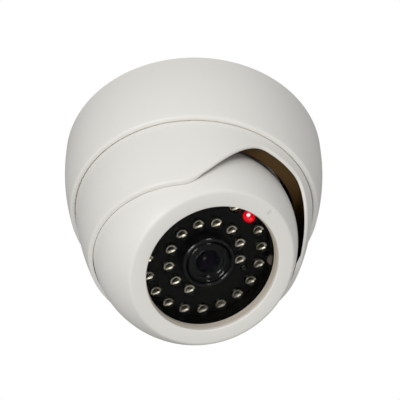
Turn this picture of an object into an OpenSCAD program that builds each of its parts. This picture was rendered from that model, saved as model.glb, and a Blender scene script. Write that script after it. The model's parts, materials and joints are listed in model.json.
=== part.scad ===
// Ceiling dome camera: a round base, a panning cover with a scooped mouth, and an
// eyeball that tilts in it.  Millimetres.  The ceiling is the plane z = 0 and the
// camera hangs down from it; the mouth and the forward tilt face -Y.

/* [Base] */
// Diameter of the base where it meets the ceiling
base_d = 120; // [119.5:0.5:121.5]
// Height of the base housing
base_h = 37.5; // [37:0.5:38]
// Radius of the bulge down the side of the base
base_bulge_r = 115; // [113:1:130]
// Rounding of the base's lower lip
lip_round = 1.5; // [1:0.1:1.5]
// Wall thickness of the base housing
base_wall = 2.4; // [2:0.1:2.6]
// Circle diameter of the ceiling screws
ceiling_pcd = 84; // [80:1:86]
// Radius of the ceiling screw holes
ceiling_hole_r = 2.25; // [1.8:0.05:2.5]
// Radius of the lead's way through the grommet
lead_hole_r = 3; // [2.5:0.1:3.5]

/* [Cover] */
// Radius of the cover just under the base
cover_r = 53.3; // [53:0.1:53.4]
// Radius of curvature of the cover's side
cover_bulge_r = 120; // [115:5:135]
// Inward lean of the cover's side at its top, in degrees
cover_lean = 6.8; // [6:0.2:7.2]
// Distance of the cover's low edge below the ceiling
cover_low = 67.1; // [66:0.1:67.5]
// Wall thickness of the cover at its top
cover_wall = 1.5; // [1.3:0.05:1.7]
// Wall thickness of the cover just above the thicker lip of its low edge
cover_thin = 1.1; // [1:0.05:1.3]
// Gap between the cover's low edge and the eyeball
ball_gap = 0.2; // [0.15:0.05:0.4]
// Distance of the top of the mouth below the ceiling
mouth_top = 43.1; // [42.5:0.1:45]
// Half angle of the level stretch at the top of the mouth, in degrees
mouth_crown = 10.6; // [6:0.2:14]
// Half angle at which the mouth runs out into the low edge, in degrees
mouth_foot = 54; // [48:1:56]

/* [Eyeball] */
// Radius of the eyeball
ball_r = 45.4; // [45:0.1:45.5]
// Distance of the eyeball's centre below the ceiling
ball_drop = 55; // [54.5:0.1:55.5]
// Tilt from straight down at rest, in degrees
tilt_rest = 23; // [0:1:45]
// Distance of the flat face from the eyeball's centre
face_z = 27.3; // [27:0.1:27.6]
// Radius of the window opening
opening_r = 29.3; // [29.1:0.1:29.6]
// Rounding between the face and the ball
face_round = 2; // [1:0.2:2.4]
// Wall thickness of the eyeball's shells
ball_wall = 2.2; // [2:0.1:2.4]
// Radius of the tilt pins
pin_r = 2; // [1.8:0.05:2.1]

/* [Lamps and lens] */
// Number of places in the outer ring of lamps, with the indicator in one of them
outer_places = 19; // [15:1:19]
// Radius of the outer ring of lamps
outer_ring_r = 25.7; // [25.4:0.1:25.8]
// Number of lamps in the inner, C-shaped row
inner_count = 10; // [6:1:10]
// Radius of the inner row of lamps
inner_ring_r = 16.3; // [16:0.1:16.4]
// Radius of a lamp
lamp_r = 2.5; // [2.3:0.05:2.5]
// Radius of the lens barrel's head
lens_head_r = 9.5; // [9:0.1:9.6]
// Outer radius of the baffle that keeps lamp light off the lens
baffle_r = 11.8; // [11.4:0.1:12.2]

/* [Hidden] */
$fn = 96;

// Small distance by which a cutter runs past the surface it cuts
cut = 0.5;

// Base
base_r = base_d / 2;
base_straight = 6;                    // height of the upright band under the ceiling
base_arc_c = [base_r - base_bulge_r, -base_straight];
base_arc_end = asin((base_h - base_straight - lip_round) / (base_bulge_r - lip_round));
lip_c = base_arc_c + (base_bulge_r - lip_round) * [cos(base_arc_end), -sin(base_arc_end)];
lip_in_r = cover_r + 0.2;             // inner radius of the lower lip
ledge_r = 50.2;                       // bore of the ledge that carries the turntable
ledge_top = -33.2;
ledge_low = -35.2;
plate_t = 2.5;
plate_r = base_r - base_wall - 0.4;
hook_angles = [30, 150, 270];         // bayonet hooks
hook_half = 6;                        // half width of a hook or a foot
ceiling_angles = [90, 210, 330];
grommet_y = -18;
lock_z = -6.5;
board_t = 1.6;                        // thickness of every circuit board
power_z = -8;                         // top face of the power board
power_y = -38.5;
power_post_x = 15;

// Turntable
turn_top = -30.2;
turn_low = -32.7;
turn_r = 51.5;
turn_in_r = 46.6;
neck_r = 49.7;
cover_top = -35.6;
flange_low = -38;
cover_screw_r = 48.2;
cover_screw_angles = [45, 135, 270];
stop_half = 2;

// Cover
cover_arc_c = [cover_r - cover_bulge_r * cos(cover_lean),
               -base_h + cover_bulge_r * sin(cover_lean)];
function cover_out(z) =
    cover_arc_c[0] + sqrt(pow(cover_bulge_r, 2) - pow(z - cover_arc_c[1], 2));
function cover_in(z) =
    cover_out(z) - cover_wall
    + (cover_wall - cover_thin) * (-z - base_h) / (cover_low - base_h);
function beside_ball(z) = ball_gap + sqrt(pow(ball_r, 2) - pow(z + ball_drop, 2));
cover_round = 1;                      // rounding of the low edge
lip_high = 1.6;                       // height of the close-fitting lip
lip_run = 2;                          // height over which it thins to the wall
cover_steps = 12;
mouth_steps = 28;
liner_t = 0.4;                        // dark liner inside the cover
liner_gap = 0.05;
liner_back = 0.6;                     // by which it stands back from the mouth's edge
skirt_low = -42;                      // ring of the liner that reaches in to the eyeball
skirt_t = 1;
skirt_in_r = 44.9;

// Tilt arms
flat_x = 44;                          // flats on the sides of the eyeball
arm_in = 44.3;
arm_out = 45.9;
arm_half = 5.5;
foot_out = 50.8;
foot_t = 1.6;
foot_half = 7;
arm_screw_x = 49;
arm_screw_y = 4.4;
pin_end = 38;                         // inner end of a tilt pin
pin_play = 0.06;
boss_r = 4.4;

// Eyeball, along its own axis: +z looks out of the window
rim_z = -3.4;                         // rear rim of the front shell
groove_low = -1.9;                    // groove round the shell, in front of the bead at its rim
groove_high = -1.5;
groove_in = 0.7;
bead_in = 0.15;
brow_r = 40;                          // raised brow of the bead, over the middle of its front
brow_rise = 0.9;
spigot_z = 1.5;                       // front end of the rear shell, inside the front one
front_in_r = ball_r - ball_wall;
rear_r = front_in_r - 0.2;
rear_in_r = rear_r - 2;
step_z = 25;                          // step inside the window opening
step_r = opening_r - 0.5;
window_top = 22.6;
window_t = 1.2;
seat_r = 30.4;                        // bore behind the window opening
gasket_t = 0.5;
cup_r = 30;
cup_in_r = 28.7;
floor_top = 14.3;
floor_t = 1.5;
tube_r = 32.4;
board_top = 9.5;                      // top face of the lamp board
board_r = 31.5;
sensor_top = -2.4;                    // top face of the sensor board
sensor_half = 18;
lamp_tip = 18.5;
outer_start = 85;                     // place of the indicator, in degrees
inner_start = 31;
inner_pitch = 28.67;
sensor_at = [19.9, 20];               // light sensor: radius and angle
clip_at = [29.2, 38];                 // clip under the window: radius and angle
clip_r = 2.3;
clip_out_r = 31.4;
clip_low = 19.3;
clip_top = 20.6;
shell_screw_r = 36;
shell_screw_angles = [30, 150, 270];
board_screw_r = 34.5;
board_screw_angles = [90, 210, 330];
standoff_at = 14.85;
split_z = 1.8;                        // plane where the shells' screw posts meet
head_seat = -6;                       // seat of the shell screws' heads

// Lens
thread_r = 5.96;
holder_bore_r = 6.02;
holder_r = 7.6;
holder_half = 9;
holder_top = 10;
head_low = 12;
lens_top = 20.8;
glass_low = 17.1;                     // seat of the front glass
glass_r = 4.6;
retainer_r = 5.9;

// ---------- helpers ----------

function arc(c, r, a0, a1, n) =
    [for (i = [0:n]) let (a = a0 + (a1 - a0) * i / n) c + r * [cos(a), sin(a)]];

function polar(r, a) = [r * cos(a), r * sin(a), 0];

// A flat ring or tube from z0 up to z1
module ring(r_out, r_in, z0, z1) {
    translate([0, 0, z0])
        difference() {
            cylinder(r = r_out, h = z1 - z0);
            translate([0, 0, -cut]) cylinder(r = r_in, h = z1 - z0 + 2 * cut);
        }
}

// A cylinder from z0 up to z1
module rod(r, z0, z1) {
    translate([0, 0, z0]) cylinder(r = r, h = z1 - z0);
}

// A box given by its lowest and highest corners
module block(low, high) {
    translate(low) cube(high - low);
}

// Children repeated at each angle of a circle
module around(angles, r) {
    for (a = angles)
        rotate([0, 0, a]) translate([r, 0, 0]) children();
}

// Pan-head screw along z: the head stands on z = 0 and the shank goes down
module screw(shank_r, length, head_r, head_h) {
    difference() {
        union() {
            rod(shank_r, -length, 0.1);
            rod(head_r, 0, head_h);
        }
        for (a = [0, 90])
            rotate([0, 0, a])
                block([-head_r * 0.55, -0.25, head_h - 0.7], [head_r * 0.55, 0.25, head_h + cut]);
    }
}

// The eyeball's own frame, with +z out of the window
module in_ball() {
    translate([0, 0, -ball_drop]) rotate([180 - tilt_rest, 0, 0]) children();
}

// ---------- base ----------

module base_profile() {
    arc_pts = arc(base_arc_c, base_bulge_r, 0, -base_arc_end, 12);
    lip_pts = arc(lip_c, lip_round, -base_arc_end, -90, 6);
    inner = arc(base_arc_c, base_bulge_r - base_wall, -base_arc_end * 0.86, 0, 10);
    polygon(concat(
        [[base_r - 0.8, 0], [base_r, -0.8]],
        arc_pts,
        lip_pts,
        [[lip_in_r + 0.4, -base_h], [lip_in_r, -base_h + 0.4], [lip_in_r, ledge_low],
         [ledge_r, ledge_low], [ledge_r, ledge_top], [inner[0][0], ledge_top]],
        inner,
        [[base_r - base_wall, 0]]));
}

module base_housing() {
    skirt_in = base_r - base_wall;
    color("ivory")
        difference() {
            union() {
                rotate_extrude($fn = 180) base_profile();
                for (a = hook_angles)
                    rotate([0, 0, a])
                        intersection() {
                            block([54.4, -hook_half, -5], [base_r, hook_half, -3]);
                            rod(skirt_in + 0.5, -10, 0);
                        }
                rotate([0, 0, 90])
                    intersection() {
                        block([turn_r + 0.4, -stop_half, turn_low + 0.1], [base_r, stop_half, -26]);
                        rod(54.6, -40, -20);
                    }
            }
            translate([0, 0, lock_z])
                rotate([-90, 0, 0]) {
                    rod(1.4, 50, base_r + 1);
                    rod(2.5, base_r - 1.6, base_r + 1);
                }
        }
}

module mount_plate() {
    color("gainsboro")
        difference() {
            union() {
                rod(plate_r, -plate_t, 0);
                for (a = hook_angles)
                    rotate([0, 0, a]) {
                        block([48.5, -hook_half, -7.2], [51, hook_half, -plate_t + 0.1]);
                        block([48.5, -hook_half, -7.2], [56.4, hook_half, -5.2]);
                    }
                block([-5, 51, -10], [5, 56.4, -plate_t + 0.1]);
                block([-5, 51, -plate_t], [5, 53.2, 0]);
                for (x = [-power_post_x, power_post_x])
                    translate([x, power_y, 0]) rod(3, power_z, -plate_t + 0.1);
            }
            for (a = ceiling_angles)
                translate(polar(ceiling_pcd / 2, a)) {
                    rod(ceiling_hole_r, -plate_t - 1, 1);
                }
            translate([0, grommet_y, 0]) rod(6, -plate_t - 1, 1);
            for (x = [-power_post_x, power_post_x])
                translate([x, power_y, 0]) rod(1.05, power_z - 1, -1);
            translate([0, 0, lock_z]) rotate([-90, 0, 0]) rod(1.3, 50, 58);
        }
}

module lock_screw() {
    color("silver")
        translate([0, base_r - 1.6, lock_z]) rotate([-90, 0, 0]) screw(1.2, 7.4, 2.2, 1.5);
}

module cable_grommet() {
    color("dimgray")
        translate([0, grommet_y, 0])
            rotate_extrude()
                polygon([[lead_hole_r, 0], [5.9, 0], [5.9, -plate_t - 0.1], [8, -plate_t - 0.1],
                         [8, -plate_t - 1.3], [7.2, -plate_t - 2], [lead_hole_r, -plate_t - 2]]);
}

module friction_ring() {
    color("slategray") ring(turn_r - 0.1, ledge_r + 0.1, ledge_top, ledge_top + 0.4);
}

module power_board() {
    color("seagreen")
        difference() {
            block([-19, power_y - 7.5, power_z - board_t], [19, power_y + 7.5, power_z]);
            for (x = [-power_post_x, power_post_x])
                translate([x, power_y, 0]) rod(1.2, power_z - board_t - 1, power_z + 1);
        }
}

module terminal_block() {
    low = power_z - board_t;
    color("royalblue")
        difference() {
            block([-11.5, power_y - 5, low - 8], [0.5, power_y + 5, low]);
            for (x = [-8.5, -2.5]) {
                translate([x, power_y, 0]) rod(1.7, low - 9, low - 5.5);
                block([x - 1.6, power_y - 6, low - 4.6], [x + 1.6, power_y - 2, low - 1.6]);
            }
        }
}

module filter_capacitor() {
    low = power_z - board_t;
    color("darkslateblue")
        translate([7, power_y, 0])
            difference() {
                rod(3.6, low - 9, low);
                ring(4.2, 3.3, low - 2.4, low - 1.6);
            }
}

module regulator() {
    low = power_z - board_t;
    color("black") block([1.3, power_y + 4.2, low - 1.5], [12.5, power_y + 7.2, low]);
}

module power_board_screws() {
    color("silver")
        for (x = [-power_post_x, power_post_x])
            translate([x, power_y, power_z - board_t]) rotate([180, 0, 0]) screw(1, 5, 1.8, 1.4);
}

// ---------- panning body ----------

module pan_ring() {
    color("dimgray")
        difference() {
            union() {
                ring(turn_r, turn_in_r, turn_low, turn_top);
                ring(neck_r, turn_in_r, cover_top, turn_low + 0.1);
                rotate([0, 0, -90]) block([turn_r - 1, -stop_half, turn_low], [53.4, stop_half, turn_top]);
            }
            around(cover_screw_angles, cover_screw_r) rod(1.15, cover_top - 1, turn_top + 1);
            for (s = [0, 180])
                for (y = [-arm_screw_y, arm_screw_y])
                    rotate([0, 0, s]) translate([arm_screw_x, y, 0]) rod(1.05, turn_low - 1, turn_top + 1);
        }
}

// Height of the mouth's edge at an angle either side of its middle
function mouth_edge(a) =
    let (t = max(0, min(1, (mouth_foot - abs(a)) / (mouth_foot - mouth_crown))))
    -cover_low + (cover_low - mouth_top) * t * t * (3 - 2 * t);

module cover_profile() {
    depth = cover_low - base_h - cover_round;
    low_z = -cover_low + lip_high + lip_run;
    rise = flange_low - low_z;
    outer = [for (i = [0:cover_steps]) let (z = -base_h - depth * i / cover_steps) [cover_out(z), z]];
    inner = [for (i = [0:cover_steps]) let (z = low_z + rise * i / cover_steps) [cover_in(z), z]];
    corner = outer[cover_steps] - [cover_round, 0];
    lip_top = -cover_low + lip_high;
    polygon(concat(
        [[turn_in_r, cover_top], [cover_r - 0.5, cover_top], [cover_r, cover_top - 0.5]],
        outer,
        arc(corner, cover_round, -18, -90, 5),
        [[beside_ball(-cover_low), -cover_low], [beside_ball(lip_top), lip_top]],
        inner,
        [[turn_in_r, flange_low]]));
}

// Cutter with the outline of the mouth, stood back from its edge by a distance
module mouth_cut(back) {
    edge = [for (i = [-mouth_steps:mouth_steps])
        let (a = mouth_foot * i / mouth_steps, z = mouth_edge(a))
        [cover_out(z) * sin(a) + sign(i) * back, z + back]];
    edge_x = edge[len(edge) - 1][0];
    rotate([90, 0, 0])
        linear_extrude(height = 70)
            polygon(concat(edge, [[edge_x, -cover_low - 3], [-edge_x, -cover_low - 3]]));
}

module dome_cover() {
    color("ivory")
        difference() {
            rotate_extrude($fn = 180) cover_profile();
            mouth_cut(0);
            around(cover_screw_angles, cover_screw_r) rod(1.1, flange_low - 1, cover_top + 1);
        }
}

// Thin liner of the cover's wall, with a ring that hides the works above the eyeball
module cover_liner() {
    low = -cover_low + lip_high + lip_run + 0.2;
    skirt_top = skirt_low + skirt_t;
    back = [for (i = [0:cover_steps])
        let (z = low + (skirt_top - low) * i / cover_steps) [cover_in(z) - liner_gap, z]];
    face = [for (i = [0:cover_steps])
        let (z = skirt_low + (low - skirt_low) * i / cover_steps) [cover_in(z) - liner_gap - liner_t, z]];
    color("sienna")
        difference() {
            rotate_extrude($fn = 180)
                polygon(concat(back, [[skirt_in_r, skirt_top], [skirt_in_r, skirt_low]], face));
            mouth_cut(liner_back);
            for (s = [0, 180])
                rotate([0, 0, s])
                    block([arm_in - 1, -arm_half - 0.5, skirt_low - 1],
                          [arm_out + 0.4, arm_half + 0.5, skirt_top + 1]);
        }
}

module cover_screws() {
    color("silver")
        around(cover_screw_angles, cover_screw_r)
            translate([0, 0, turn_top]) screw(1.05, -flange_low + turn_top - 0.4, 1.9, 1.5);
}

// Steel arm that hangs from the turntable on the +X side
module tilt_arm() {
    difference() {
        union() {
            block([arm_in, -arm_half, -ball_drop], [arm_out, arm_half, turn_top + foot_t]);
            translate([0, 0, -ball_drop]) rotate([0, 90, 0]) rod(arm_half, arm_in, arm_out);
            block([arm_in, -foot_half, turn_top], [foot_out, foot_half, turn_top + foot_t]);
        }
        translate([0, 0, -ball_drop]) rotate([0, 90, 0]) rod(pin_r + 0.01, arm_in - 1, arm_out + 1);
        for (y = [-arm_screw_y, arm_screw_y])
            translate([arm_screw_x, y, 0]) rod(1.15, turn_top - 1, turn_top + foot_t + 1);
    }
}

module tilt_arm_right() {
    color("lightsteelblue") tilt_arm();
}

module tilt_arm_left() {
    color("lightsteelblue") rotate([0, 0, 180]) tilt_arm();
}

module arm_screws() {
    color("silver")
        for (s = [0, 180])
            for (y = [-arm_screw_y, arm_screw_y])
                rotate([0, 0, s])
                    translate([arm_screw_x, y, turn_top + foot_t]) screw(1, 3.9, 1.75, 1.3);
}

// Pin of the tilt axis on the +X side
module tilt_pin() {
    translate([0, 0, -ball_drop])
        rotate([0, 90, 0])
            difference() {
                rod(pin_r, pin_end, arm_out);
                block([-0.3, -pin_r, arm_out - 0.6], [0.3, pin_r, arm_out + cut]);
            }
}

module tilt_pin_right() {
    color("silver") tilt_pin();
}

module tilt_pin_left() {
    color("silver") rotate([0, 0, 180]) tilt_pin();
}

// ---------- eyeball ----------

module front_profile() {
    fillet_z = face_z - face_round;
    fillet_r = sqrt(pow(ball_r - face_round, 2) - pow(fillet_z, 2));
    fillet_a = atan2(fillet_z, fillet_r);
    flange_z = face_z - ball_wall;
    bead_r = ball_r - bead_in;
    groove_r = ball_r - groove_in;
    polygon(concat(
        [[sqrt(pow(bead_r, 2) - pow(rim_z, 2)), rim_z], [bead_r, groove_low],
         [groove_r, groove_low], [groove_r, groove_high]],
        arc([0, 0], ball_r, asin((groove_high + 0.5) / ball_r), fillet_a, 20),
        arc([fillet_r, fillet_z], face_round, fillet_a + 12, 90, 5),
        arc([opening_r + 0.5, face_z - 0.5], 0.5, 90, 180, 4),
        [[opening_r, step_z], [step_r, step_z], [step_r, window_top], [seat_r, window_top],
         [seat_r, board_top], [tube_r, board_top], [tube_r, flange_z]],
        arc([0, 0], front_in_r, asin(flange_z / front_in_r), asin(rim_z / front_in_r), 18)));
}

// Bores from side to side along the tilt axis
module pivot_bores(r) {
    for (s = [0, 180])
        rotate([0, 0, s]) rotate([0, 90, 0]) rod(r, pin_end - 2, ball_r + 1);
}

module front_shell() {
    post_top = 21;
    color("ivory")
        in_ball()
            difference() {
                union() {
                    rotate_extrude($fn = 180) front_profile();
                    difference() {
                        translate([0, ball_r + brow_rise - brow_r, 0]) rod(brow_r, rim_z, groove_low);
                        rod(ball_r - 1, rim_z - 1, groove_low + 1);
                    }
                    for (s = [0, 180])
                        rotate([0, 0, s]) rotate([0, 90, 0]) rod(boss_r, pin_end - 0.5, flat_x);
                    intersection() {
                        union() {
                            around(shell_screw_angles, shell_screw_r) rod(2.8, split_z, post_top);
                            around(board_screw_angles, board_screw_r) rod(2.6, board_top, face_z - 1);
                        }
                        sphere(r = ball_r - 0.4);
                    }
                }
                pivot_bores(pin_r + pin_play);
                for (s = [0, 180])
                    rotate([0, 0, s]) block([flat_x, -20, -20], [ball_r + 1, 20, 20]);
                around(shell_screw_angles, shell_screw_r) rod(1.05, split_z - 1, 13);
                around(board_screw_angles, board_screw_r) rod(1.05, board_top - 1, 18);
                clip_shape(0.05);
            }
}

module rear_shell() {
    pole_a = -82;                     // where the shell meets its lead hole
    color("dimgray")
        in_ball()
            difference() {
                union() {
                    rotate_extrude($fn = 120)
                        polygon(concat(
                            arc([0, 0], rear_r, asin(spigot_z / rear_r), pole_a, 20),
                            arc([0, 0], rear_in_r, pole_a, asin(spigot_z / rear_in_r), 20)));
                    intersection() {
                        around(shell_screw_angles, shell_screw_r) rod(3, -26, split_z);
                        sphere(r = rear_r - 0.2);
                    }
                }
                pivot_bores(boss_r + 0.3);
                around(shell_screw_angles, shell_screw_r) {
                    rod(1.2, head_seat - 1, split_z + 1);
                    rod(2.3, -40, head_seat);
                }
            }
}

module shell_screws() {
    color("silver")
        in_ball()
            around(shell_screw_angles, shell_screw_r)
                translate([0, 0, head_seat]) rotate([180, 0, 0]) screw(1, 17, 2.1, 1.6);
}

module window() {
    color("lightcyan", 0.3)
        in_ball() rod(seat_r - 0.2, window_top - window_t, window_top);
}

// Half-round clip that keys the window's cup to the front shell
module clip_shape(grow) {
    intersection() {
        translate(polar(clip_at[0], clip_at[1])) rod(clip_r + grow, clip_low - grow, clip_top + grow);
        rod(clip_out_r + grow, clip_low - grow, clip_top + grow);
    }
}

module cup_clip() {
    color("tan") in_ball() clip_shape(0);
}

module window_gasket() {
    color("black")
        in_ball()
            ring(cup_r + 0.2, cup_in_r + 0.2, window_top - window_t - gasket_t, window_top - window_t);
}

// Angle of each place in the outer ring; place 0 holds the indicator
function outer_angle(k) = outer_start - 360 * k / outer_places;

module lamp_places(grow) {
    for (k = [0:outer_places - 1])
        translate(polar(outer_ring_r, outer_angle(k))) rod(lamp_r + grow, floor_top - 4, floor_top + 1);
    for (k = [0:inner_count - 1])
        translate(polar(inner_ring_r, inner_start + inner_pitch * k))
            rod(lamp_r + grow, floor_top - 4, floor_top + 1);
}

module lamp_shroud() {
    floor_low = floor_top - floor_t;
    cup_top = window_top - window_t - gasket_t;
    color("black")
        in_ball()
            difference() {
                union() {
                    rod(cup_r, floor_low, floor_top);
                    ring(cup_r, cup_in_r, board_top, cup_top);
                }
                lamp_places(0.15);
                translate(polar(sensor_at[0], sensor_at[1])) rod(1.65, floor_low - 1, floor_top + 1);
                translate(polar(clip_at[0], clip_at[1])) rod(clip_r + 0.2, clip_low - 0.2, window_top);
                rod(lens_head_r + 0.5, floor_low - 1, floor_top + 1);
            }
}

module ir_baffle() {
    top = window_top - window_t - 0.2;
    color("black")
        in_ball()
            rotate_extrude()
                polygon([[lens_head_r + 0.5, floor_top], [baffle_r, floor_top], [baffle_r, top - 0.5],
                         [baffle_r - 0.5, top], [lens_head_r + 0.9, top], [lens_head_r + 0.5, top - 0.4]]);
}

module lamp_board() {
    low = board_top - board_t;
    color("seagreen")
        in_ball()
            difference() {
                union() {
                    rod(board_r, low, board_top);
                    around(board_screw_angles, board_screw_r) rod(2.6, low, board_top);
                    around(board_screw_angles, board_r - 1) block([-1, -2.6, low], [4, 2.6, board_top]);
                }
                rod(holder_r + 0.4, low - 1, board_top + 1);
                around(board_screw_angles, board_screw_r) rod(1.15, low - 1, board_top + 1);
                around([45:90:315], standoff_at * sqrt(2)) rod(1.15, low - 1, board_top + 1);
            }
}

module lamp_board_screws() {
    color("silver")
        in_ball()
            around(board_screw_angles, board_screw_r)
                translate([0, 0, board_top - board_t]) rotate([180, 0, 0]) screw(1, 7.6, 1.9, 1.4);
}

// Round-nosed lamp standing on the lamp board
module lamp() {
    nose_z = lamp_tip - lamp_r;
    rod(lamp_r, board_top, nose_z);
    translate([0, 0, nose_z])
        intersection() {
            sphere(r = lamp_r);
            rod(lamp_r + 1, -0.1, lamp_r + 1);
        }
}

module outer_lamps() {
    color("white")
        in_ball()
            for (k = [1:outer_places - 1])
                translate(polar(outer_ring_r, outer_angle(k))) lamp();
}

module inner_lamps() {
    color("white")
        in_ball()
            for (k = [0:inner_count - 1])
                translate(polar(inner_ring_r, inner_start + inner_pitch * k)) lamp();
}

module indicator_lamp() {
    color("red") in_ball() translate(polar(outer_ring_r, outer_angle(0))) lamp();
}

module light_sensor() {
    nose_z = floor_top + 0.6;
    color("lightgray")
        in_ball()
            translate(polar(sensor_at[0], sensor_at[1])) {
                rod(1.5, board_top, nose_z);
                translate([0, 0, nose_z])
                    intersection() {
                        sphere(r = 1.5);
                        rod(2, -0.1, 2);
                    }
            }
}

module standoffs() {
    color("gold")
        in_ball()
            around([45:90:315], standoff_at * sqrt(2))
                difference() {
                    translate([0, 0, sensor_top])
                        cylinder(r = 2.2, h = board_top - board_t - sensor_top, $fn = 6);
                    rod(1.05, sensor_top - 1, board_top);
                }
}

module standoff_screws() {
    color("silver")
        in_ball()
            around([45:90:315], standoff_at * sqrt(2)) {
                translate([0, 0, board_top]) screw(1, 5, 1.75, 1.2);
                translate([0, 0, sensor_top - board_t]) rotate([180, 0, 0]) screw(1, 5, 1.75, 1.2);
            }
}

module sensor_board() {
    low = sensor_top - board_t;
    color("seagreen")
        in_ball()
            difference() {
                block([-sensor_half, -sensor_half, low], [sensor_half, sensor_half, sensor_top]);
                around([45:90:315], standoff_at * sqrt(2)) rod(1.15, low - 1, sensor_top + 1);
                around([0, 180], holder_half + 2) rod(1.15, low - 1, sensor_top + 1);
            }
}

module image_sensor() {
    color("darkslategray")
        in_ball() block([-4, -4, sensor_top], [4, 4, sensor_top + 1.2]);
}

module processor_chip() {
    low = sensor_top - board_t;
    color("black") in_ball() block([-6, -6, low - 1.3], [6, 6, low]);
}

module board_connector() {
    low = sensor_top - board_t;
    color("beige")
        in_ball()
            difference() {
                block([-6, -16.5, low - 5.5], [6, -11, low]);
                block([-5, -15.7, low - 6], [5, -11.8, low - 1.2]);
            }
}

module lamp_connector() {
    low = board_top - board_t;
    color("beige")
        in_ball()
            difference() {
                block([-4, 20, low - 5], [4, 25.5, low]);
                block([-3.2, 20.8, low - 6], [3.2, 24.7, low - 1]);
            }
}

module lens_holder() {
    foot_top = sensor_top + 3;
    color("dimgray")
        in_ball()
            difference() {
                union() {
                    block([-holder_half, -holder_half, sensor_top], [holder_half, holder_half, foot_top]);
                    around([0, 180], holder_half) {
                        block([-1, -3, sensor_top], [2, 3, sensor_top + 2]);
                        translate([2, 0, 0]) rod(3, sensor_top, sensor_top + 2);
                    }
                    rod(holder_r, foot_top - 0.1, holder_top);
                }
                rod(holder_bore_r, sensor_top + 1.6, holder_top + 1);
                block([-5, -5, sensor_top - 1], [5, 5, sensor_top + 1.7]);
                around([0, 180], holder_half + 2) rod(1.05, sensor_top - 1, foot_top);
            }
}

module holder_screws() {
    color("silver")
        in_ball()
            around([0, 180], holder_half + 2)
                translate([0, 0, sensor_top - board_t]) rotate([180, 0, 0]) screw(1, 3.2, 1.75, 1.2);
}

// ---------- lens ----------

module lens_barrel() {
    color("black")
        in_ball()
            rotate_extrude()
                polygon([[3.2, 1.2], [thread_r - 0.4, 1.2], [thread_r, 1.6], [thread_r, head_low],
                         [lens_head_r - 0.5, head_low], [lens_head_r, head_low + 0.5],
                         [lens_head_r, lens_top - 0.4], [lens_head_r - 0.4, lens_top],
                         [8.8, lens_top], [8.5, lens_top - 0.3], [8.4, lens_top - 0.8],
                         [7.3, lens_top - 0.8], [7, lens_top - 1.1], [6.9, lens_top - 1.5],
                         [retainer_r + 0.1, lens_top - 1.5], [retainer_r + 0.1, glass_low],
                         [glass_r - 0.4, glass_low], [glass_r - 0.4, glass_low - 2],
                         [3.2, glass_low - 3]]);
}

module lens_retainer() {
    top = lens_top - 1.4;
    low = glass_low + 0.9;
    color("black")
        in_ball()
            difference() {
                rotate_extrude()
                    polygon([[glass_r - 0.3, low], [retainer_r, low], [retainer_r, top - 0.1],
                             [retainer_r - 0.2, top], [retainer_r - 0.5, top]]);
                for (s = [0, 180])
                    rotate([0, 0, s]) block([glass_r, -0.5, top - 0.7], [retainer_r + 1, 0.5, top + 1]);
            }
}

// Front glass: a shallow dome on a short rim
module front_element() {
    dome_r = 9;
    sag = dome_r - sqrt(pow(dome_r, 2) - pow(glass_r, 2));
    color("midnightblue")
        in_ball() {
            rod(retainer_r, glass_low, glass_low + 0.8);
            intersection() {
                translate([0, 0, glass_low + 0.75 + sag - dome_r]) sphere(r = dome_r);
                rod(glass_r - 0.35, glass_low + 0.7, glass_low + 4);
            }
        }
}

mount_plate();
base_housing();
lock_screw();
cable_grommet();
friction_ring();
power_board();
terminal_block();
filter_capacitor();
regulator();
power_board_screws();
pan_ring();
dome_cover();
cover_liner();
cover_screws();
tilt_arm_left();
tilt_arm_right();
arm_screws();
tilt_pin_left();
tilt_pin_right();
front_shell();
rear_shell();
shell_screws();
window();
window_gasket();
cup_clip();
lamp_shroud();
ir_baffle();
lamp_board();
lamp_board_screws();
outer_lamps();
inner_lamps();
indicator_lamp();
light_sensor();
standoffs();
standoff_screws();
sensor_board();
image_sensor();
processor_chip();
board_connector();
lamp_connector();
lens_holder();
holder_screws();
lens_barrel();
lens_retainer();
front_element();
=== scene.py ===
"""Looks for the ceiling dome camera: materials, finer shells, lamps, light and camera around the CAD frame."""

import json
import math

import bmesh
import bpy
from mathutils import Matrix, Vector
from mathutils.bvhtree import BVHTree


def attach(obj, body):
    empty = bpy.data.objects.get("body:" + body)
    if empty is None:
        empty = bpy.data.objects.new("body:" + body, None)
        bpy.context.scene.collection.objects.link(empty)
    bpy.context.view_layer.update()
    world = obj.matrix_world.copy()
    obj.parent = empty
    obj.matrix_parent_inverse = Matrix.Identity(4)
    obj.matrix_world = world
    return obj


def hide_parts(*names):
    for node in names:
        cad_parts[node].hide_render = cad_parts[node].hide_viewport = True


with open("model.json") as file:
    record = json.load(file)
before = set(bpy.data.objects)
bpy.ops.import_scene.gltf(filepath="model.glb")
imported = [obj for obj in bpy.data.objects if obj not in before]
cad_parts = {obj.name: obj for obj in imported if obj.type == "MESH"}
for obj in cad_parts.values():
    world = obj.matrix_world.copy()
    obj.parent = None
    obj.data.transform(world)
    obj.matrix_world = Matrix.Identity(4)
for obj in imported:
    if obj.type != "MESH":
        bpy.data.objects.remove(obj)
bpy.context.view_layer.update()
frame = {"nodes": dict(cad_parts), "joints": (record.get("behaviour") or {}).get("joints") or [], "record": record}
NODES = frame["nodes"]

MM = 0.001

# ---------- the frame's own places ----------

JOINTS = {j["name"]: j for j in frame["joints"]}
BALL_CENTRE = Vector(JOINTS["tilt"]["pos_m"])
VIEW_AXIS = Vector(JOINTS["focus"]["axis"]).normalized()


def ball_matrix():
    """The eyeball's own frame at rest: z looks out of the window, x is the tilt axis."""
    x = Vector((1, 0, 0))
    y = VIEW_AXIS.cross(x)
    rot = Matrix((x, y, VIEW_AXIS)).transposed().to_4x4()
    return Matrix.Translation(BALL_CENTRE) @ rot


BALL = ball_matrix()
BALL_UP = BALL.inverted()


def in_ball(node):
    """A CAD node's vertices in the eyeball's frame."""
    return [BALL_UP @ node.matrix_world @ v.co for v in node.data.vertices]


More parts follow.
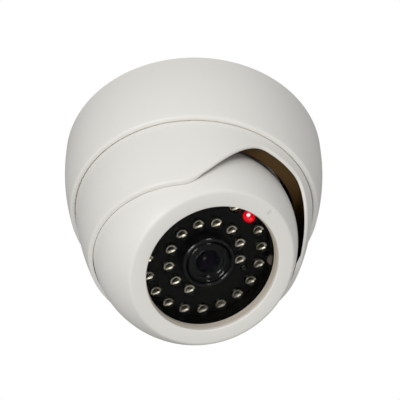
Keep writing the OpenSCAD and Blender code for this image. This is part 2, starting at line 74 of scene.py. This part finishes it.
FACE_Z = max(p.z for p in in_ball(NODES["front_shell"]))
FACE_RING = [math.hypot(p.x, p.y) for p in in_ball(NODES["front_shell"]) if p.z > FACE_Z - 0.6 * MM]
OPENING_R = min(FACE_RING)

# ---------- camera ----------

CAMERA_AT = Vector((-0.2701, -0.2456, -0.4362))
CAMERA_AIM = Vector((-0.0063, -0.0093, -0.0400))
CAMERA_ROLL = math.radians(-1.02)
LENS_MM = 108


def make_camera():
    """The camera at the photograph's viewing angle."""
    data = bpy.data.cameras.new("camera")
    data.lens = LENS_MM
    data.sensor_width = 36
    data.clip_start = 0.01
    data.dof.use_dof = False
    cam = bpy.data.objects.new("camera", data)
    bpy.context.scene.collection.objects.link(cam)
    look = (CAMERA_AIM - CAMERA_AT).to_track_quat("-Z", "Y").to_matrix().to_4x4()
    cam.matrix_world = Matrix.Translation(CAMERA_AT) @ look @ Matrix.Rotation(CAMERA_ROLL, 4, "Z")
    bpy.context.scene.camera = cam
    return cam


camera = make_camera()
bpy.context.view_layer.update()

# ---------- materials ----------


class Nodes:
    """A small wrapper that builds a material's node tree."""

    def __init__(self, name):
        self.material = bpy.data.materials.new(name)
        self.material.use_nodes = True
        self.tree = self.material.node_tree
        self.bsdf = self.tree.nodes["Principled BSDF"]

    def add(self, kind, **inputs):
        node = self.tree.nodes.new(kind)
        for key, value in inputs.items():
            node.inputs[key.replace("_", " ")].default_value = value
        return node

    def link(self, out, into):
        self.tree.links.new(out, into)

    def drive(self, socket, out):
        """Link an output to one of the shader's sockets."""
        self.link(out, self.bsdf.inputs[socket])

    def set(self, **inputs):
        for key, value in inputs.items():
            self.bsdf.inputs[key.replace("_", " ")].default_value = value

    def place(self):
        return self.add("ShaderNodeTexCoord").outputs["Object"]

    def noise(self, scale, detail=4.0, roughness=0.55):
        node = self.add("ShaderNodeTexNoise", Scale=scale, Detail=detail, Roughness=roughness)
        self.link(self.place(), node.inputs["Vector"])
        return node.outputs["Fac"]

    def ramp(self, value, stops):
        node = self.add("ShaderNodeValToRGB")
        ramp = node.color_ramp
        for i, (at, colour) in enumerate(stops):
            stop = ramp.elements[i] if i < 2 else ramp.elements.new(at)
            stop.position = at
            stop.color = (*colour, 1)
        self.link(value, node.inputs["Fac"])
        return node.outputs["Color"]

    def spread(self, value, low, high, start=0.0, end=1.0):
        """A value from start to end mapped to low..high."""
        node = self.add("ShaderNodeMapRange")
        node.inputs["From Min"].default_value = start
        node.inputs["From Max"].default_value = end
        node.inputs["To Min"].default_value = low
        node.inputs["To Max"].default_value = high
        self.link(value, node.inputs["Value"])
        return node.outputs["Result"]

    def facing(self):
        """0 where the surface is seen square on, 1 where it is seen edge on."""
        return self.add("ShaderNodeLayerWeight", Blend=0.5).outputs["Facing"]

    def mix(self, factor, a, b):
        """Colour a, turning to colour b as the factor goes from 0 to 1."""
        node = self.add("ShaderNodeMix")
        node.data_type = "RGBA"
        colours = [s for s in node.inputs if s.type == "RGBA"]
        self.link(factor, node.inputs["Factor"])
        for socket, value in zip(colours, (a, b)):
            if isinstance(value, tuple):
                socket.default_value = (*value, 1)
            else:
                self.link(value, socket)
        return next(s for s in node.outputs if s.type == "RGBA")

    def maths(self, operation, a, b):
        """One arithmetic step on two values, or one such step on two vectors."""
        kind = "ShaderNodeVectorMath" if isinstance(b, Vector) else "ShaderNodeMath"
        node = self.add(kind)
        node.operation = operation
        self.link(a, node.inputs[0])
        if isinstance(b, bpy.types.NodeSocket):
            self.link(b, node.inputs[1])
        else:
            node.inputs[1].default_value = b
        return next(out for out in node.outputs if out.enabled)

    def length(self, vector):
        """A vector's length."""
        node = self.add("ShaderNodeVectorMath")
        node.operation = "LENGTH"
        self.link(vector, node.inputs[0])
        return node.outputs["Value"]

    def spot(self, at, radii):
        """1 inside an ellipsoid at a place on the object, 0 outside, soft at its edge."""
        reach = self.maths("DIVIDE", self.maths("SUBTRACT", self.place(), at), radii)
        return self.spread(self.length(reach), 1.0, 0.0, 0.6, 1.0)

    def painted_recess_shade(self):
        """1 on the wall inside the window opening, fading out toward the flat face; the mask of the painted shade
        there.
        """
        out = self.maths("SUBTRACT", self.place(), BALL_CENTRE)
        height = self.maths("DOT_PRODUCT", out, VIEW_AXIS)
        radius = self.length(self.maths("CROSS_PRODUCT", out, VIEW_AXIS))
        inside = self.spread(radius, 1.0, 0.0, OPENING_R, OPENING_R + 0.4 * MM)
        deep = self.spread(height, 1.0, 0.0, FACE_Z - 2.2 * MM, FACE_Z - 0.4 * MM)
        front = self.maths("GREATER_THAN", height, FACE_Z / 2)
        return self.maths("MULTIPLY", self.maths("MULTIPLY", inside, deep), front)

    def bump(self, height, distance, strength=1.0):
        node = self.add("ShaderNodeBump", Strength=strength, Distance=distance)
        self.link(height, node.inputs["Height"])
        self.drive("Normal", node.outputs["Normal"])


def vary(colour, amount):
    """Two shades either side of a colour."""
    dark = tuple(c * (1 - amount) for c in colour)
    light = tuple(min(1.0, c * (1 + amount)) for c in colour)
    return [(0.3, dark), (0.7, light)]


def moulded(name, colour, roughness, grain=0.00002, tint=0.03, gloss=0.5):
    """Moulded plastic: soft mottling, roughness that drifts, and a fine spark-eroded grain unless polished."""
    n = Nodes(name)
    n.drive("Base Color", n.ramp(n.noise(35.0), vary(colour, tint)))
    n.drive("Roughness", n.spread(n.noise(90.0), roughness * 0.85, roughness * 1.15))
    if grain:
        n.bump(n.noise(2600.0, 2.0), grain)
    n.set(IOR=1.49, Specular_IOR_Level=gloss)
    return n.material


IVORY = (0.815, 0.797, 0.757)
# Painted shade: a darker brown-grey laid on the wall inside the window opening.
RECESS_PAINTED_SHADE = (0.47, 0.41, 0.33)
SCUFF_AT = BALL @ Vector((0.0006, 0.0337, 0.0273))
SCUFF_SIZE = Vector((0.0007, 0.0020, 0.0012))


def shell_plastic():
    """Satin ivory plastic of the housing, cover and eyeball, with one small scuff on the eyeball's face and painted
    shade on the wall inside the window opening.
    """
    n = Nodes("shell_plastic")
    base = n.ramp(n.noise(14.0), vary(IVORY, 0.012))
    mark = n.spot(SCUFF_AT, SCUFF_SIZE)
    # Painted shade on the wall inside the window opening, mixed in up to 85 % brown-grey.
    shaded = n.mix(n.spread(n.painted_recess_shade(), 0.0, 0.85), base, RECESS_PAINTED_SHADE)
    n.drive("Base Color", n.mix(n.spread(mark, 0.0, 0.35), shaded, (0.45, 0.43, 0.40)))
    n.drive("Roughness", n.spread(n.noise(60.0), 0.38, 0.48))
    n.bump(n.noise(2200.0, 2.0), 0.000010, 0.5)
    n.set(IOR=1.5, Specular_IOR_Level=0.4)
    return n.material


def metal(name, colour, roughness, streak):
    """Machined or plated metal with fine turning marks."""
    n = Nodes(name)
    n.drive("Base Color", n.ramp(n.noise(240.0), vary(colour, 0.08)))
    n.drive("Roughness", n.spread(n.noise(900.0), roughness * 0.8, roughness * 1.25))
    wave = n.add("ShaderNodeTexWave", Scale=streak, Distortion=0.6)
    n.link(n.place(), wave.inputs["Vector"])
    n.bump(wave.outputs["Fac"], 0.00001, 0.5)
    n.set(Metallic=1.0)
    return n.material


def board_material():
    """Circuit board: green mask over copper tracks, with tinned vias."""
    n = Nodes("board")
    brick = n.add("ShaderNodeTexBrick", Scale=260.0, Mortar_Size=0.06, Bias=0.0)
    n.link(n.place(), brick.inputs["Vector"])
    brick.inputs["Color1"].default_value = (0.012, 0.10, 0.035, 1)
    brick.inputs["Color2"].default_value = (0.016, 0.13, 0.045, 1)
    brick.inputs["Mortar"].default_value = (0.035, 0.22, 0.08, 1)
    dots = n.add("ShaderNodeTexVoronoi", Scale=330.0)
    n.link(n.place(), dots.inputs["Vector"])
    vias = n.spread(dots.outputs["Distance"], 1.0, 0.0, 0.10, 0.14)
    n.drive("Base Color", n.mix(vias, brick.outputs["Color"], (0.55, 0.55, 0.50)))
    n.bump(brick.outputs["Fac"], 0.00003)
    n.set(Roughness=0.3)
    return n.material


def rubber_material():
    """Matt black rubber."""
    n = Nodes("rubber")
    n.drive("Base Color", n.ramp(n.noise(400.0), vary((0.0045, 0.0050, 0.0048), 0.3)))
    n.drive("Roughness", n.spread(n.noise(200.0), 0.17, 0.21))
    n.set(Specular_IOR_Level=0.3)
    return n.material


def window_material():
    """Thin coated window: clear square on, glossier at a glancing angle."""
    n = Nodes("window_glass")
    n.drive("Alpha", n.add("ShaderNodeFresnel", IOR=1.10).outputs["Fac"])
    n.drive("Roughness", n.spread(n.noise(60.0), 0.02, 0.05))
    n.set(Base_Color=(0.97, 0.98, 1.0, 1), Metallic=1.0)
    return n.material


def lens_glass():
    """Coated front glass: nearly black, with a violet sheen painted into its colour toward glancing angles."""
    n = Nodes("lens_glass")
    painted_sheen = n.ramp(n.facing(), [(0.0, (0.001, 0.0012, 0.002)), (0.9, (0.012, 0.006, 0.02))])
    n.drive("Base Color", painted_sheen)
    n.drive("Roughness", n.spread(n.noise(120.0), 0.02, 0.04))
    n.set(IOR=1.5, Specular_IOR_Level=0.06)
    return n.material


def clear_epoxy(name, colour, roughness=0.02):
    """Clear cast epoxy that bends the view of what it holds."""
    n = Nodes(name)
    n.drive("Base Color", n.ramp(n.noise(500.0), vary(colour, 0.03)))
    n.drive("Roughness", n.spread(n.noise(300.0), roughness, roughness * 2))
    n.set(IOR=1.5, Transmission_Weight=1.0)
    return n.material


LIT_TIP = max(in_ball(NODES["indicator_lamp"]), key=lambda p: p.z)
LIT_AT = BALL @ (LIT_TIP + Vector((-2.0, 0.6, -1.2)) * MM)
LIT_CORE = Vector((1, 1, 1)) * 0.95 * MM
LIT_HALO = Vector((1, 1, 1)) * 4.2 * MM


def lit_epoxy():
    """Lit red indicator: a pink-white core near its top edge, in red that fades to a speckled foot."""
    n = Nodes("indicator_epoxy")
    core = n.spot(LIT_AT, LIT_CORE)
    speckle = n.spread(n.noise(1400.0), 0.1, 1.0, 0.42, 0.58)
    halo = n.maths("MULTIPLY", n.spot(LIT_AT, LIT_HALO), speckle)
    n.drive("Emission Color", n.mix(core, (1.0, 0.004, 0.014), (1.0, 0.30, 0.36)))
    n.drive("Emission Strength", n.maths("ADD", n.spread(halo, 0.10, 1.0), n.spread(core, 0.0, 4.0)))
    n.drive("Base Color", n.ramp(n.noise(500.0), vary((0.25, 0.004, 0.008), 0.1)))
    n.set(Roughness=0.12)
    return n.material


MATERIALS = {
    "shell_plastic": shell_plastic(),
    "plate_plastic": moulded("plate_plastic", (0.72, 0.71, 0.68), 0.5),
    "inner_plastic": moulded("inner_plastic", (0.06, 0.045, 0.028), 0.6, tint=0.15, gloss=0.25),
    "liner_plastic": moulded("liner_plastic", (0.070, 0.036, 0.008), 0.65, tint=0.12, gloss=0.2),
    # The window clip's dark brown-grey is partly its own colour and partly painted shade, for where it lies under
    # the window.
    "clip_plastic": moulded("clip_plastic", (0.11, 0.092, 0.066), 0.5, gloss=0.3),
    "black_plastic": moulded("black_plastic", (0.0028, 0.0030, 0.0022), 0.5, 0, tint=0.2, gloss=0.10),
    "lens_plastic": moulded("lens_plastic", (0.0024, 0.0030, 0.0030), 0.15, 0, tint=0.2, gloss=0.3),
    "rubber": rubber_material(),
    "felt_ring": moulded("felt_ring", (0.28, 0.29, 0.31), 0.8, 0.00005, tint=0.2),
    "window_glass": window_material(),
    "lens_glass": lens_glass(),
    "lamp_epoxy": clear_epoxy("lamp_epoxy", (0.93, 0.91, 0.84)),
    "indicator_epoxy": lit_epoxy(),
    "sensor_epoxy": clear_epoxy("sensor_epoxy", (0.30, 0.31, 0.31)),
    "board": board_material(),
    "chip_plastic": moulded("chip_plastic", (0.02, 0.02, 0.022), 0.5, tint=0.15),
    "connector_plastic": moulded("connector_plastic", (0.72, 0.68, 0.55), 0.4),
    "terminal_plastic": moulded("terminal_plastic", (0.03, 0.13, 0.40), 0.35),
    "capacitor_sleeve": moulded("capacitor_sleeve", (0.03, 0.04, 0.10), 0.25),
    "steel": metal("steel", (0.88, 0.83, 0.70), 0.42, 900.0),
    "arm_steel": metal("arm_steel", (0.035, 0.028, 0.020), 0.5, 500.0),
    "brass": metal("brass", (0.70, 0.50, 0.20), 0.28, 900.0),
}

SHARP = math.radians(28)


def finish_of(obj, slot_name):
    """Give an object one of the record's finishes, and shade it by its true angles."""
    obj.data.materials.clear()
    obj.data.materials.append(MATERIALS[slot_name])
    obj.data.shade_smooth()
    split = obj.modifiers.new("sharp", "EDGE_SPLIT")
    split.split_angle = SHARP
    split.use_edge_sharp = False


def finish_cad(obj, slot_name):
    """The same for a CAD node, whose vertices are first welded along their seams."""
    mesh = obj.data
    if "custom_normal" in mesh.attributes:
        mesh.attributes.remove(mesh.attributes["custom_normal"])
    weld = obj.modifiers.new("weld", "WELD")
    weld.merge_threshold = 1e-6
    finish_of(obj, slot_name)


for part in frame["record"]["subparts"]:
    finish_cad(NODES[part["node"]], part["material_slot"])

# ---------- pieces built as meshes ----------


class Shape:
    """Vertices and faces gathered for one piece."""

    def __init__(self):
        self.verts = []
        self.faces = []

    def grid(self, rows, wrap_rows=False):
        """A sheet of quads over equal rows of points; each row closes on itself."""
        start = len(self.verts)
        width = len(rows[0])
        for row in rows:
            self.verts.extend(row)
        count = len(rows) if wrap_rows else len(rows) - 1
        for i in range(count):
            a = start + i * width
            b = start + (i + 1) % len(rows) * width
            for j in range(width):
                k = (j + 1) % width
                self.faces.append((a + j, a + k, b + k, b + j))

    def lathe(self, profile, place, segments):
        """A turned solid about place's z axis. The profile starts and ends on the axis."""
        rings = profile[1:-1]
        turns = [2 * math.pi * k / segments for k in range(segments)]
        start = len(self.verts)
        self.grid([[place @ Vector((r * math.cos(t), r * math.sin(t), z)) for t in turns] for r, z in rings])
        last = start + (len(rings) - 1) * segments
        for ring, z in ((start, profile[0][1]), (last, profile[-1][1])):
            tip = len(self.verts)
            self.verts.append(place @ Vector((0, 0, z)))
            for j in range(segments):
                self.faces.append((ring + j, ring + (j + 1) % segments, tip))

    def box(self, low, high, place):
        """A box between two corners in place's frame."""
        start = len(self.verts)
        for z in (low[2], high[2]):
            for x, y in ((low[0], low[1]), (high[0], low[1]), (high[0], high[1]), (low[0], high[1])):
                self.verts.append(place @ Vector((x, y, z)))
        quads = [(0, 1, 2, 3), (4, 5, 6, 7), (0, 1, 5, 4), (1, 2, 6, 5), (2, 3, 7, 6), (3, 0, 4, 7)]
        self.faces.extend(tuple(start + i for i in quad) for quad in quads)

    def piece(self, name, body, slot_name, stands_for=None):
        """The finished object, riding on its body."""
        mesh = bpy.data.meshes.new(name)
        mesh.from_pydata([tuple(v) for v in self.verts], [], self.faces)
        bm = bmesh.new()
        bm.from_mesh(mesh)
        bmesh.ops.recalc_face_normals(bm, faces=bm.faces)
        bm.to_mesh(mesh)
        bm.free()
        obj = bpy.data.objects.new(name, mesh)
        bpy.context.scene.collection.objects.link(obj)
        finish_of(obj, slot_name)
        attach(obj, body)
        if stands_for:
            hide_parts(stands_for)


def quarter(centre, radius, start, end, steps):
    """Points (r, z) along an arc, angles in degrees."""
    turns = [math.radians(start + (end - start) * i / steps) for i in range(steps + 1)]
    return [(centre[0] + radius * math.cos(t), centre[1] + radius * math.sin(t)) for t in turns]


# ---------- cover with a rounded mouth ----------

EDGE_ROUND = 0.95 * MM
INNER_ROUND = 0.15 * MM
COLUMNS = 420
WALL_ROWS = 26
BACK = math.pi / 2
PROBE = 0.08
NEAR = 0.036


def rows_between(start, end):
    """Evenly spaced heights for the rows of a wall."""
    return [start + (end - start) * i / WALL_ROWS for i in range(WALL_ROWS + 1)]


def cover_piece():
    """The cover again, row for row on the CAD surface, with the corner round its mouth and low edge rounded off."""
    node = NODES["dome_cover"]
    tree = BVHTree.FromPolygons([node.matrix_world @ v.co for v in node.data.vertices],
                                [p.vertices for p in node.data.polygons])

    def from_outside(turn, z):
        """Radius of the outer face at an angle and height, or None in the mouth."""
        ray = Vector((math.cos(turn), math.sin(turn), 0))
        hit = tree.ray_cast(ray * PROBE + Vector((0, 0, z)), -ray, PROBE - NEAR)[0]
        return hit and math.hypot(hit.x, hit.y)

    def from_inside(z):
        """Radius of the inner face at a height."""
        hit = tree.ray_cast(Vector((0, 0, z)), Vector((0, 1, 0)), PROBE)[0]
        return hit.y

    zs = [(node.matrix_world @ v.co).z for v in node.data.vertices]
    low, high = min(zs), max(zs)
    flange_low = high - 2.4 * MM
    neck = from_inside(high - 1 * MM)
    wall_top = flange_low - 0.05 * MM

    def edge_height(turn):
        """Lowest height at which the outer face is there, found by halving."""
        bottom, top = low + 0.02 * MM, high - 3 * MM
        if from_outside(turn, bottom):
            return low
        for _ in range(16):
            middle = (bottom + top) / 2
            if from_outside(turn, middle):
                top = middle
            else:
                bottom = middle
        return top

    turns = [2 * math.pi * k / COLUMNS + BACK for k in range(COLUMNS)]
    edges = [edge_height(t) for t in turns]
    edges = [(edges[k - 1] + 2 * edges[k] + edges[(k + 1) % COLUMNS]) / 4 for k in range(COLUMNS)]
    table = [low + (high - low) * i / 240 for i in range(241)]
    usable = [z for z in table if low + 1.1 * MM < z < high - 0.6 * MM]
    outer_known = {z: from_outside(BACK, z) for z in usable}

    def outer(z):
        """Radius of the outer face at a height, carried on smoothly past the rounded corners."""
        first, last = usable[0], usable[-1]
        if z <= first:
            slope = (outer_known[usable[8]] - outer_known[first]) / (usable[8] - first)
            return outer_known[first] + slope * (z - first)
        if z >= last:
            return outer_known[last]
        i = (z - first) / (usable[1] - usable[0])
        k = min(int(i), len(usable) - 2)
        return outer_known[usable[k]] + (i - k) * (outer_known[usable[k + 1]] - outer_known[usable[k]])

    def inner(z):
        return from_inside(max(low + 0.02 * MM, min(z, wall_top)))

    columns = []
    for k, turn in enumerate(turns):
        edge = edges[k]
        run = 2 * math.pi / COLUMNS * 2 * outer(edge)
        slope = (edges[(k + 1) % COLUMNS] - edges[k - 1]) / run
        wall = outer(edge) - inner(edge)
        round_r = min(EDGE_ROUND, 0.85 * wall)
        rise = round_r * math.sqrt(1 + slope * slope)
        shoulder = edge + rise
        profile = [(neck, high), (outer(high) - 0.5 * MM, high), (outer(high), high - 0.5 * MM)]
        top = high - 1.9 * MM
        profile += [(outer(z), z) for z in rows_between(top, shoulder)]
        for i in range(1, 8):
            a = math.pi / 2 * i / 7
            z = shoulder - rise * math.sin(a)
            profile.append((outer(z) - round_r * (1 - math.cos(a)), z))
        profile.append((inner(edge) + INNER_ROUND, edge))
        start = edge + INNER_ROUND
        profile += [(inner(z), z) for z in rows_between(start, wall_top)]
        profile.append((neck, flange_low))
        columns.append([Vector((r * math.cos(turn), r * math.sin(turn), z)) for r, z in profile])

    shape = Shape()
    shape.grid(columns, wrap_rows=True)
    shape.piece("cover_shell", "turntable", "shell_plastic", "dome_cover")


cover_piece()

# ---------- lamps ----------


def separate_bodies(node):
    """Centre, radius, foot and tip of each separate body of a CAD node, in the eyeball's frame."""
    bm = bmesh.new()
    bm.from_mesh(node.data)
    bm.transform(BALL_UP @ node.matrix_world)
    bmesh.ops.remove_doubles(bm, verts=bm.verts, dist=1e-6)
    waiting = set(bm.verts)
    found = []
    while waiting:
        stack = [waiting.pop()]
        group = []
        while stack:
            vert = stack.pop()
            group.append(vert.co.copy())
            for edge in vert.link_edges:
                other = edge.other_vert(vert)
                if other in waiting:
                    waiting.remove(other)
                    stack.append(other)
        low = Vector([min(v[i] for v in group) for i in range(3)])
        high = Vector([max(v[i] for v in group) for i in range(3)])
        middle = (low + high) / 2
        found.append((middle.x, middle.y, (high.x - low.x) / 2, low.z, high.z))
    bm.free()
    return found


CUP_R = 0.95 * MM
CUP_WALL = 0.48 * MM
CUP_CUT = 0.35 * MM
CUP_DEPTH = 0.7 * MM
CUP_BELOW_TIP = 3.1 * MM
CUP_TURN = math.radians(-31.5)
POST_R = 0.35 * MM
SPACER = 0.3 * MM


def body_profile(radius, foot, tip):
    """A round-nosed epoxy body with a softened foot."""
    nose = tip - radius
    dome = quarter((0, nose), radius, 0, 88, 12)
    return [(0, foot), (radius - 0.1 * MM, foot), (radius, foot + 0.1 * MM)] + dome + [(0, tip)]


def rod_profile(radius, low, high):
    """A plain rod or disc."""
    return [(0, low), (radius, low), (radius, high), (0, high)]


def reflector(shape, place, floor, rim):
    """A D-shaped reflector: a round wall, open on one side and closed there by a straight bar."""
    opening = math.acos(CUP_CUT / CUP_R)
    steps = 20
    outer_r = CUP_R + CUP_WALL
    soft = 0.05 * MM
    wall = [(CUP_R, floor), (CUP_R, rim - soft), (CUP_R + soft, rim),
            (outer_r - soft, rim), (outer_r, rim - soft), (outer_r, floor)]
    turns = [opening + (2 * math.pi - 2 * opening) * k / steps for k in range(steps + 1)]
    rows = [[place @ Vector((r * math.cos(t), r * math.sin(t), z)) for r, z in wall] for t in turns]
    start = len(shape.verts)
    shape.grid(rows)
    last = start + steps * len(wall)
    shape.faces.append(tuple(range(start, start + len(wall))))
    shape.faces.append(tuple(range(last, last + len(wall))))
    half = CUP_R * math.sin(opening)
    shape.box((CUP_CUT, -half, floor), (CUP_CUT + CUP_WALL, half, rim), place)


def lamp_pieces(node_name, prefix):
    """Bodies, reflectors on their posts, and dark floors and spacers for every lamp of a CAD node."""
    bodies, cups, darks = Shape(), Shape(), Shape()
    for x, y, radius, foot, tip in separate_bodies(NODES[node_name]):
        place = BALL @ Matrix.Translation((x, y, 0)) @ Matrix.Rotation(CUP_TURN, 4, "Z")
        rim = tip - CUP_BELOW_TIP
        floor = rim - CUP_DEPTH
        bodies.lathe(body_profile(radius, foot, tip), place, 40)
        reflector(cups, place, floor, rim)
        cups.lathe(rod_profile(POST_R, foot + 2 * SPACER, floor - SPACER / 2), place, 16)
        darks.lathe(rod_profile(CUP_R, floor - SPACER / 2, floor), place, 24)
        darks.lathe(rod_profile(radius - SPACER, foot + SPACER / 2, foot + 1.5 * SPACER), place, 24)
    bodies.piece(prefix + "_bodies", "eyeball", "lamp_epoxy", node_name)
    cups.piece(prefix + "_cups", "eyeball", "steel")
    darks.piece(prefix + "_dies", "eyeball", "chip_plastic")


lamp_pieces("outer_lamps", "outer_lamp")
lamp_pieces("inner_lamps", "inner_lamp")

# ---------- dust seals ----------

SEAL_LOW = -1.3 * MM
SEAL_HIGH = -0.7 * MM
SEAL_TURN = math.radians(90)


def dust_seals():
    """Thin rubber discs that close the ceiling screw holes until they are used."""
    screws = next(m for m in frame["record"]["mounts"] if m["name"] == "ceiling_screws")["dims"]
    seals = Shape()
    for k in range(screws["count"]):
        turn = SEAL_TURN + 2 * math.pi * k / screws["count"]
        around = Matrix.Rotation(turn, 4, "Z") @ Matrix.Translation((screws["pcd_mm"] / 2 * MM, 0, 0))
        seals.lathe(rod_profile((screws["hole_r_mm"] - 0.05) * MM, SEAL_LOW, SEAL_HIGH), around, 32)
    seals.piece("dust_seals", "base", "rubber")


dust_seals()

# ---------- stage and light ----------

MIDDLE = Vector((0, 0, -0.045))


def from_camera(right, up, back):
    """A point placed by the camera's own directions, in metres from the object's middle."""
    return MIDDLE + camera.matrix_world.to_3x3() @ Vector((right, up, back))


def softbox(name, at, size, watts):
    """A round soft light aimed at the object."""
    data = bpy.data.lights.new(name, "AREA")
    data.shape = "DISK"
    data.size = size
    data.energy = watts
    lamp = bpy.data.objects.new(name, data)
    bpy.context.scene.collection.objects.link(lamp)
    aim = (MIDDLE - at).to_track_quat("-Z", "Y").to_matrix().to_4x4()
    lamp.matrix_world = Matrix.Translation(at) @ aim


FLOOR_Z = -1.6
FLOOR_HALF = 6.0


def make_floor():
    """Plain pale floor, well below the hanging camera."""
    mesh = bpy.data.meshes.new("floor")
    h = FLOOR_HALF
    mesh.from_pydata([(-h, -h, FLOOR_Z), (h, -h, FLOOR_Z), (h, h, FLOOR_Z), (-h, h, FLOOR_Z)], [], [(0, 1, 2, 3)])
    floor = bpy.data.objects.new("floor", mesh)
    bpy.context.scene.collection.objects.link(floor)
    n = Nodes("floor_paint")
    n.drive("Base Color", n.ramp(n.noise(3.0), vary((0.80, 0.80, 0.79), 0.02)))
    n.set(Roughness=0.9)
    mesh.materials.append(n.material)


BACKDROP = 1.0
FILL = 0.41
REFLECTED = 0.13


def make_world():
    """White backdrop for the camera, a softer fill light, and a dim room in reflections."""
    world = bpy.data.worlds.new("studio")
    bpy.context.scene.world = world
    world.use_nodes = True
    world.cycles.sampling_method = "NONE"
    tree = world.node_tree
    tree.nodes.clear()
    path = tree.nodes.new("ShaderNodeLightPath")

    def choose(ray, otherwise, strength):
        """One strength for a kind of ray, and otherwise the one given."""
        node = tree.nodes.new("ShaderNodeMapRange")
        tree.links.new(path.outputs[ray], node.inputs["Value"])
        node.inputs["To Max"].default_value = strength
        if isinstance(otherwise, float):
            node.inputs["To Min"].default_value = otherwise
        else:
            tree.links.new(otherwise, node.inputs["To Min"])
        return node.outputs["Result"]

    strength = choose("Is Camera Ray", choose("Is Diffuse Ray", REFLECTED, FILL), BACKDROP)
    light = tree.nodes.new("ShaderNodeBackground")
    light.inputs["Color"].default_value = (1, 1, 1, 1)
    out = tree.nodes.new("ShaderNodeOutputWorld")
    tree.links.new(strength, light.inputs["Strength"])
    tree.links.new(light.outputs["Background"], out.inputs["Surface"])


make_floor()
make_world()
softbox("key", from_camera(-0.50, 0.20, 0.84), 0.45, 4.5)
softbox("upper", from_camera(0.38, 0.62, 0.68), 0.25, 1.5)
softbox("lower", from_camera(0.28, -0.57, 0.77), 0.25, 1.4)
softbox("side", from_camera(0.88, 0.02, 0.47), 0.20, 0.35)
bpy.context.scene.view_settings.view_transform = "Standard"
